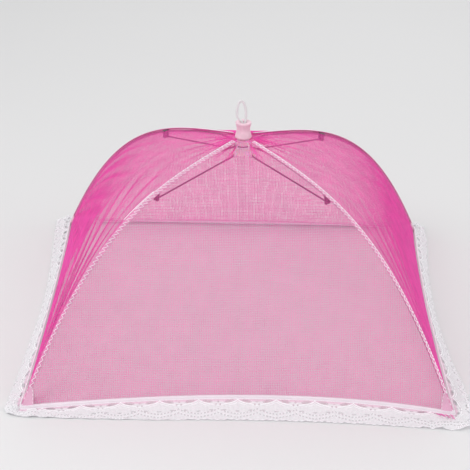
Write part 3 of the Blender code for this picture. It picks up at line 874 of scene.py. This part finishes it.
def collar_profile():
    """Radius and height of the collar's rings: mouth, rounded rim, waisted flank, foot and bore."""
    top = COLLAR_FOOT + COLLAR_HEIGHT
    rings = [(COLLAR_MOUTH, top - 0.0009), (0.0050, top - 0.0004)]
    rings += rounded(COLLAR_RIM - COLLAR_LIP, top - COLLAR_LIP, COLLAR_LIP, 90)
    for index in range(1, 16):
        share = index / 16
        waist = math.sin(math.pi * share**0.85) ** 1.3
        wide = COLLAR_RIM + (COLLAR_BASE - COLLAR_RIM) * share
        height = COLLAR_HEIGHT - COLLAR_LIP - COLLAR_HEEL
        rings.append((wide + (COLLAR_WAIST - wide) * waist, top - COLLAR_LIP - height * share))
    rings += rounded(COLLAR_BASE - COLLAR_HEEL, COLLAR_FOOT + COLLAR_HEEL, COLLAR_HEEL, 0)
    return rings + [
        (COLLAR_BORE, COLLAR_FOOT),
        (COLLAR_BORE, top - 0.0030),
        (COLLAR_MOUTH, top - 0.0030),
        (COLLAR_MOUTH, top - 0.0009),
    ]


def rounded(radius, height, lip, start):
    """A quarter round from the start angle downwards."""
    turns = [math.radians(start - 18 * index) for index in range(6)]
    return [(radius + lip * math.cos(turn), height + lip * math.sin(turn)) for turn in turns]


class COVER_OT_collar(Operator):
    """Turn the pale pink collar: a waisted cap with a rounded rim, a dished top and a cord hole"""

    bl_idname = "cover.collar"
    bl_label = "Collar"

    def execute(self, context):
        rings = collar_profile()
        radius, height = rings[0]
        bpy.ops.mesh.primitive_circle_add(vertices=72, radius=radius, location=(0, 0, height))
        item = context.object
        item.name = "collar"
        bpy.ops.object.transform_apply(location=True)
        bpy.ops.object.mode_set(mode="EDIT")
        bpy.ops.mesh.select_all(action="SELECT")
        for wide, level in rings[1:]:
            bpy.ops.mesh.extrude_region_move(TRANSFORM_OT_translate={"value": (0, 0, level - height)})
            share = wide / radius
            bpy.ops.transform.resize(value=(share, share, 1), center_override=(0, 0, level))
            radius, height = wide, level
        bpy.ops.object.mode_set(mode="OBJECT")
        weld(item)
        bpy.ops.object.shade_smooth_by_angle(angle=math.radians(40))
        dress(item, plastic_finish())
        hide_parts("crown_collar")
        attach(item, "crown")
        return {"FINISHED"}


# Net

# Distances from the axis at which the gathers begin, how fast they rise, and where and how they fade
GATHER_START = 0.0105
GATHER_RISE = 0.008
GATHER_FULL = 0.018
GATHER_FADE = 0.030

# Folds that fan out from the hem's corner: where they are highest and where they end, how high they
# stand, how far they draw the threads aside, and how many lie within a radian
FOLD_PEAK = 0.13
FOLD_END = 0.34
FOLD_HEIGHT = 0.0030
FOLD_DRIFT = 0.0022
FOLD_TURNS = 46
PANEL_LENGTH = 0.30
GROUND_STEPS = 48
GROUND_COLUMNS = 24


def wing_rows(pitch):
    """Shares of the ridge at which the net's level threads lie, a pitch apart down the panel."""
    return [share for share in spaced(pitch, 1500, panel_line) if share < NET_END_SHARE]


def gathered(point, sizes):
    """The net's height in the folds that run out from under the collar."""
    radius = math.hypot(point.x, point.y)
    grow = min(max((radius - GATHER_START) / GATHER_RISE, 0), 1)
    fade = math.exp(-max(radius - GATHER_FULL, 0) / GATHER_FADE) * grow
    angle = math.atan2(point.y, point.x)
    folds = sizes.gather_folds
    wave = math.sin(folds * angle) + 0.5 * math.sin((folds * 0.5 + 4) * angle + 1.3)
    return point + Vector((0, 0, sizes.gather_depth * fade * (wave * 0.6 - 0.1)))


def tension(wing_share, share, across):
    """The height of the corner's folds at a place, and how far they draw the threads."""
    along = BASE_SIDE / 2 - across
    above = (1 - share) * PANEL_LENGTH
    reach = math.hypot(along, above)
    angle = math.atan2(above, along)
    grow = min(reach / FOLD_PEAK, 1) * max(1 - reach / FOLD_END, 0) * min(across / 0.02, 1)
    edge = min(max(share * 3, 0), 1) * min((1 - share) * 12, 1)
    window = max(math.sin(3.2 * min(angle, 0.95)), 0) ** 0.7
    strength = wing_share * grow * window * edge
    phase = FOLD_TURNS * angle
    wave = math.sin(phase) + 0.55 * math.sin(1.63 * phase + 0.7)
    drift = math.cos(phase) + 0.5 * math.cos(1.63 * phase + 0.7)
    return FOLD_HEIGHT * strength * wave, FOLD_DRIFT * strength * drift


def net_point(corner, wing, share, across, sizes):
    """A point of the net with its folds and gathers."""
    lift, drift = tension(FOLD_SHARES.get((corner, wing), REAR_FOLDS), share, across)
    return gathered(wing_point(corner, wing, share, across + drift, NET_DEPTH - lift), sizes)


def crown_point(corner, wing, reach, across, sizes):
    """The net between the collar's clamp, at reach 0, and the top of the panel, at 1."""
    edge = net_point(corner, wing, 0, across, sizes)
    beside = CLAMP_RADIUS * 0.95 * across / half_width(0)
    clamp = wing_place(corner, wing, CLAMP_RADIUS, beside, CLAMP_HEIGHT)
    return clamp.lerp(edge, reach)


def net_lines(corner, sizes):
    """The level and the upright threads on both sides of a corner's rib."""
    pitch = sizes.thread_pitch
    lines = []
    shares = wing_rows(pitch)
    columns = int((BASE_SIDE / 2 - SEAM_SETBACK) / pitch)
    for wing in (-1, 1):
        places = [half_width(0) * index / 6 for index in range(7)]
        for reach in (0.25, 0.5, 0.75):
            lines.append([crown_point(corner, wing, reach, across, sizes) for across in places])
        for share in shares:
            half = half_width(share)
            step = 0.0022 if ridge(share).x < 0.05 else 0.005
            count = max(2, math.ceil(half / step))
            places = [half * index / count for index in range(count + 1)]
            lines.append([net_point(corner, wing, share, across, sizes) for across in places])
        for across in (column * pitch for column in range(columns + 1)):
            line = []
            for index in range(NET_STEPS + 1):
                share = index / NET_STEPS * NET_END_SHARE
                if half_width(share) >= across:
                    if index == 0:
                        line.append(crown_point(corner, wing, 0, across, sizes))
                    line.append(net_point(corner, wing, share, across, sizes))
            if len(line) > 1:
                lines.append(line)
    return lines


def half_panel_area():
    """Flat area of the net between a rib and its panel's middle."""
    places = [panel_line(index / 200) for index in range(201)]
    return sum((low - high).length * (low.x + high.x) / 2 for high, low in zip(places, places[1:]))


class COVER_OT_net(Operator):
    """Knit the net panels from single threads"""

    bl_idname = "cover.net"
    bl_label = "Net Panels"

    def execute(self, context):
        sizes = context.scene.cover_sizes
        for index, corner in enumerate(CORNERS):
            lines = net_lines(corner, sizes)
            threads = tubes("net_threads_" + corner, lines, sizes.thread_radius, caps=False)
            sewn(threads, net_finish(), corner)
            item = self.add_ground(corner, sizes)
            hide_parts("net_" + SIDES[index], "net_" + SIDES[(index + 1) % 4])
            2 * half_panel_area()
        return {"FINISHED"}

    def add_ground(self, corner, sizes):
        """The faint film of hair-fine cross threads between the net's main threads."""
        rows, marks = [], []
        columns = range(-GROUND_COLUMNS, GROUND_COLUMNS + 1)
        for index in range(-2, GROUND_STEPS + 1):
            share = max(index, 0) / GROUND_STEPS * NET_END_SHARE
            half = half_width(share)
            row = []
            for column in columns:
                wing = 1 if column > 0 else -1
                across = half * (1 - abs(column) / GROUND_COLUMNS)
                if index < 0:
                    row.append(crown_point(corner, wing, 1 + index / 2, across, sizes))
                else:
                    row.append(net_point(corner, wing, share, across, sizes))
            rows.append(row)
            marks.append([(point.length, place * half / GROUND_COLUMNS) for place, point in enumerate(row)])
        item = cloth("net_quarter_" + corner, rows, marks, GROUND_THICKNESS)
        return sewn(item, ground_finish(), corner)


# Seams over the ribs

# Across a seam: the share of its width from the ridge, and the height over the net
SEAM_SECTION = (
    (-0.06, 0.0001),
    (0.04, 0.0003),
    (0.16, 0.0003),
    (0.36, 0.0),
    (0.62, -0.0003),
    (1.0, -0.0010),
)
SEAM_STEP = 0.004
OVERLOCK_REACHES = (0.0, 0.55, 1.0, 0.45)
EDGE_STEP = 0.0009
PIPING_STEP = 0.003


def seam_point(corner, share, offset, lift):
    """A point beside a rib's seam: offset runs from the ridge over the panel with the overlock."""
    wing = OVERLOCK_WING[corner] * (1 if offset >= 0 else -1)
    return wing_point(corner, wing, share, ridge(share).x * EIGHTH - abs(offset), -lift)


def seam_shares(pitch):
    """Shares of the ridge a pitch apart along the rib."""
    return spaced(pitch, 3000, ridge)


def seam_width(corner, share, sizes):
    """The overlock lies open near the crown and closes up towards the rib's foot."""
    low = min(max((share - 0.52) / 0.36, 0), 1)
    return sizes.tape_width * (SEAM_SHARES[corner] * (1 - 0.36 * low * low * (3 - 2 * low)))


class COVER_OT_seams(Operator):
    """Sew the seam over each rib: folded net, overlock stitches and a piping thread"""

    bl_idname = "cover.seams"
    bl_label = "Seams"

    def execute(self, context):
        sizes = context.scene.cover_sizes
        for corner in CORNERS:
            self.add_band(corner, sizes)
            self.add_stitches(corner, sizes)
        return {"FINISHED"}

    def add_band(self, corner, sizes):
        rows, marks = [], []
        for index, share in enumerate(seam_shares(SEAM_STEP)):
            wide = seam_width(corner, share, sizes)
            rows.append([seam_point(corner, share, part * wide, lift) for part, lift in SEAM_SECTION])
            marks.append([(index * SEAM_STEP, part * wide) for part, _ in SEAM_SECTION])
        item = cloth("seam_" + corner, rows, marks, SEAM_THICKNESS)
        front = corner.startswith("front")
        finish = seam_finish() if front else seam_finish("folded_net_seam_rear", "net", 0.4)
        sewn(item, finish, corner)
        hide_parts("seam_tape_" + corner)

    def add_stitches(self, corner, sizes):
        """Overlock: a strand that runs out and back over the seam, and short stitches on its edge."""
        steps = len(OVERLOCK_REACHES)
        zigzag = []
        for index, share in enumerate(seam_shares(sizes.stitch_pitch / steps)):
            reach = OVERLOCK_REACHES[index % steps]
            offset = 0.0006 + (seam_width(corner, share, sizes) - 0.0008) * reach
            zigzag.append(seam_point(corner, share, offset, 0.0007 - 0.0006 * reach))
        item = tubes("overlock_" + corner, [zigzag], OVERLOCK_RADIUS)
        sewn(item, stitch_finish(), corner)
        edge, line = [], []
        for index, share in enumerate(seam_shares(EDGE_STEP)):
            if share > EDGE_STITCH_ENDS[corner]:
                break
            line.append(seam_point(corner, share, 0.0, 0.0007))
            if index % 4 == 2:
                edge.append(line)
                line = []
        low, high = PIPING.get(corner, (0, 0))
        shares = [share for share in seam_shares(PIPING_STEP) if low < share < high]
        if shares:
            edge.append([seam_point(corner, share, -0.0007, 0.0013) for share in shares])
        item = tubes("seam_edge_" + corner, [part for part in edge if len(part) > 1], EDGE_RADIUS)
        sewn(item, stitch_finish(), corner)


def stitched(line, first, last):
    """A stitch between each two points of a line, from one share of the way to another."""
    return [[low.lerp(high, first), low.lerp(high, last)] for low, high in zip(line, line[1:])]


# The pocket over a rib's tip: its place and length in shares of the ridge, and its width
POCKET_TOP = 0.962
POCKET_RUN = 0.033
POCKET_WIDTH = 0.0105
POCKET_STEPS = 5

# The tuck's zigzag: how far its turns lie apart, its inner and outer reach, and its height
TUCK_STEP = 0.0023
TUCK_INNER = 0.0040
TUCK_OUTER = 0.0125
TUCK_LIFT = 0.0027


class COVER_OT_pockets(Operator):
    """Sew a doubled patch of net over each rib tip, and tuck the spare net at one corner"""

    bl_idname = "cover.pockets"
    bl_label = "Corner Pockets"

    def execute(self, context):
        for corner in CORNERS:
            self.add_pocket(corner)
        self.add_tuck("front_right", -1)
        return {"FINISHED"}

    def add_pocket(self, corner):
        wing = OVERLOCK_WING[corner]
        rows, marks = [], []
        for row in range(POCKET_STEPS + 1):
            share = POCKET_TOP + POCKET_RUN * row / POCKET_STEPS
            wide = POCKET_WIDTH * (row / POCKET_STEPS) ** 0.7 + 0.0006
            across = [half_width(share) - wide * column / 4 for column in range(5)]
            rows.append([wing_point(corner, wing, share, place, -0.0010) for place in across])
            marks.append([(row * 0.005, wide * column / 4) for column in range(5)])
        item = cloth("pocket_" + corner, rows, marks, SEAM_THICKNESS)
        sewn(item, seam_finish("folded_net_pocket", "lace", 0.3), corner)
        raise_by = turned(corner, (0.0004, 0, 0.0003))
        stitches = stitched([row[-1] + raise_by for row in rows], 0.1, 0.75)
        stitches += stitched([point + raise_by for point in rows[-1]], 0.15, 0.8)
        item = tubes("pocket_stitches_" + corner, stitches, POCKET_STITCH_RADIUS)
        sewn(item, stitch_finish(), corner)

    def add_tuck(self, corner, wing):
        """Spare net of the corner, caught under the hem in zigzag folds that lie on the lace."""
        lines = []
        for lag in (0.0, 0.0014):
            line = []
            for index in range(8):
                across = BASE_SIDE / 2 - 0.0012 - lag - TUCK_STEP * index
                station = (wing, across, float(wing))
                reach = TUCK_INNER + 0.0004 * index if index % 2 else TUCK_OUTER - 0.0007 * index
                place = hem_place(corner, station) + out_of_hem(corner, station) * reach
                line.append(place + Vector((0, 0, TUCK_LIFT + lag / 4)))
            lines.append(line)
        item = tubes("net_tuck_" + corner, lines, TUCK_RADIUS, sides=1)
        sewn(item, net_finish(), corner)


# Hem band and lace, each quarter from one panel's middle round a corner to the next

# Across the hem's band: the height over the net, and the share of the band's width
HEM_SECTION = ((0.0002, 0.0), (0.0008, 0.3), (0.0010, 0.7), (0.0004, 1.0))
HEM_STITCH_PITCH = 0.0027
HEM_STATION = 0.008
LACE_STATION = 0.0025

# Height of the lace's waves along the hem, how much more in the corners, and its lie over the table
LACE_WAVE = 0.0009
CORNER_WAVE = 0.0036
LACE_LIE = 0.0005


def hem_stations(spacing, fan):
    """Places along a quarter's hem: wing, distance from the panel's middle, and turn in the corner."""
    count = round(BASE_SIDE / 2 / spacing)
    line = [(-1, BASE_SIDE / 2 * index / count, -1.0) for index in range(count)]
    line += [(0, BASE_SIDE / 2, 2 * index / fan - 1) for index in range(fan + 1)]
    line += [(1, BASE_SIDE / 2 * index / count, 1.0) for index in range(count - 1, -1, -1)]
    return line


def hem_place(corner, station, share=1.0):
    """A point of the hem's lower edge, or of the net above it at a share of the ridge."""
    wing, across, _ = station
    return wing_point(corner, wing or 1, share, across * ridge(share).x / ridge(1).x, 0.0)


def out_of_hem(corner, station):
    """The level direction away from the cover."""
    turn = math.pi / 4 * station[2]
    return turned(corner, (math.cos(turn), math.sin(turn), 0))


class COVER_OT_hem(Operator):
    """Bind the net's lower edge with a folded band and its stitches"""

    bl_idname = "cover.hem"
    bl_label = "Hem Band"

    def execute(self, context):
        for index, corner in enumerate(CORNERS):
            rows, marks, stitches = [], [], []
            length = 0.0
            before = None
            for station in hem_stations(HEM_STATION, 6):
                foot = hem_place(corner, station)
                head = hem_place(corner, station, NET_END_SHARE)
                out = (out_of_hem(corner, station) + Vector((0, 0, 0.5))).normalized()
                if before is not None:
                    length += (foot - before).length
                before = foot
                rows.append([foot.lerp(head, share) + out * lift for lift, share in HEM_SECTION])
                marks.append([(length, share * HEM_WIDTH) for _, share in HEM_SECTION])
                stitches.append(foot.lerp(head, 0.75) + out * 0.0013)
            item = cloth("hem_" + corner, rows, marks, BAND_THICKNESS)
            sewn(item, band_finish(), corner)
            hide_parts("hem_band_" + SIDES[index], "hem_band_" + SIDES[(index + 1) % 4])
            self.add_stitches(corner, stitches)
        return {"FINISHED"}

    def add_stitches(self, corner, line):
        """Short stitches with gaps between them, along the band."""
        stitches = []
        for first, second in zip(line, line[1:]):
            count = max(1, round((second - first).length / HEM_STITCH_PITCH))
            for index in range(count):
                low = first.lerp(second, (index + 0.12) / count)
                high = first.lerp(second, (index + 0.82) / count)
                if (high - low).length > 0.0005:
                    stitches.append([low, high])
        item = tubes("hem_stitches_" + corner, stitches, HEM_STITCH_RADIUS)
        sewn(item, stitch_finish(), corner)


class COVER_OT_lace(Operator):
    """Hang the lace frill on the hem and let it fall to the table"""

    bl_idname = "cover.lace"
    bl_label = "Lace Frill"

    def execute(self, context):
        motif = context.scene.cover_sizes.lace_motif
        for index, corner in enumerate(CORNERS):
            rows, marks = [], []
            stations = hem_stations(LACE_STATION, 28)
            for station, length in zip(stations, lace_run(corner, stations, motif)):
                rows.append(self.fall(corner, station, length / motif))
                marks.append([(length, LACE_WIDTH * step / LACE_STEPS) for step in range(LACE_STEPS + 1)])
            item = cloth("lace_" + corner, rows, marks, LACE_THICKNESS)
            sewn(item, lace_finish(), corner)
            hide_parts("lace_" + SIDES[index], "lace_" + SIDES[(index + 1) % 4])
        return {"FINISHED"}

    def fall(self, corner, station, motifs):
        """One row of the lace, from the hem out and down to the table, in waves of its own."""
        foot = hem_place(corner, station)
        out = out_of_hem(corner, station)
        near = max(1 - (BASE_SIDE / 2 - station[1]) / 0.05, 0)
        phase = motifs * 4 * math.pi
        wave = 0.5 - 0.5 * math.cos(phase + 0.7 * math.sin(phase / 2))
        row = []
        for step in range(LACE_STEPS + 1):
            share = step / LACE_STEPS
            reach, height = lace_section(foot.z, lace_open(corner, station), share)
            rise = (LACE_WAVE + CORNER_WAVE * near) * share**1.2 * wave + LACE_LIE
            row.append(Vector((foot.x, foot.y, height + rise)) + out * reach)
        return row


def lace_run(corner, stations, motif):
    """The length along the lace at each station, eased so that whole motifs fill the quarter."""
    line = [hem_place(corner, place) + out_of_hem(corner, place) * LACE_WIDTH / 2 for place in stations]
    run = [0.0]
    for before, point in zip(line, line[1:]):
        run.append(run[-1] + (point - before).length)
    ease = round(run[-1] / motif) * motif / run[-1]
    return [mark * ease for mark in run]


def lace_open(corner, station):
    """How much of the lace's width lies open at a place of the hem."""
    wing, across, turn = station
    before, low, high, after = LACE_OPEN[corner]
    part = (across / (BASE_SIDE / 2)) ** 2
    if wing < 0:
        return before + (low - before) * part
    if wing > 0:
        return after + (high - after) * part
    return low + (high - low) * (turn + 1) / 2


def lace_section(height, open_share, share):
    """How far out and how high a place on the lace's width lies, from the hem to its edge."""
    wide = LACE_WIDTH * open_share
    level = math.sqrt(max(wide**2 - height**2, wide**2 * 0.3))
    if share <= open_share:
        part = share / open_share
        return level * part, height * (1 - part) ** 1.35 + 0.0012 * (1 - open_share) * part
    under = (share - open_share) * LACE_WIDTH
    return level - under, 0.0008 * (1 - open_share)


class COVER_OT_wires(Operator):
    """Give the wires, the hub and the runner their finishes"""

    bl_idname = "cover.wires"
    bl_label = "Wires and Hub"

    def execute(self, context):
        for name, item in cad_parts.items():
            if name.startswith("rib_tip"):
                material = plastic_finish()
            elif name.startswith(("rib_front", "rib_rear")):
                material = wire_finish("coated_rib_wire", COATED_DARK, COATED_PALE)
            elif name.startswith(("rib_", "clip_rivet", "stretcher")):
                material = wire_finish()
            elif name in ("crown_hub", "runner"):
                material = nylon_finish()
            else:
                continue
            for place in item.material_slots:
                place.material = material
        return {"FINISHED"}


class COVER_PT_panel(Panel):
    """The cover's sizes, colours and steps in the sidebar"""

    bl_label = "Food Cover"
    bl_idname = "COVER_PT_panel"
    bl_space_type = "VIEW_3D"
    bl_region_type = "UI"
    bl_category = "Food Cover"

    def draw(self, context):
        layout = self.layout
        for group in (context.scene.cover_sizes, context.scene.cover_colours):
            for name in group.__annotations__:
                layout.prop(group, name)
        for operator in OPERATORS:
            layout.operator(operator.bl_idname)


OPERATORS = (
    COVER_OT_stage,
    COVER_OT_collar,
    COVER_OT_pull_loop,
    COVER_OT_wires,
    COVER_OT_seams,
    COVER_OT_hem,
    COVER_OT_pockets,
    COVER_OT_net,
    COVER_OT_lace,
)
CLASSES = (CoverSizes, CoverColours, *OPERATORS, COVER_PT_panel)


def register():
    for item in CLASSES:
        bpy.utils.register_class(item)
    bpy.types.Scene.cover_sizes = PointerProperty(type=CoverSizes)
    bpy.types.Scene.cover_colours = PointerProperty(type=CoverColours)


def unregister():
    del bpy.types.Scene.cover_colours
    del bpy.types.Scene.cover_sizes
    for item in reversed(CLASSES):
        bpy.utils.unregister_class(item)


def main():
    register()
    bpy.ops.cover.stage()
    bpy.ops.cover.collar()
    bpy.ops.cover.pull_loop()
    bpy.ops.cover.wires()
    bpy.ops.cover.seams()
    bpy.ops.cover.hem()
    bpy.ops.cover.pockets()
    bpy.ops.cover.net()
    bpy.ops.cover.lace()


if __name__ == "__main__":
    main()
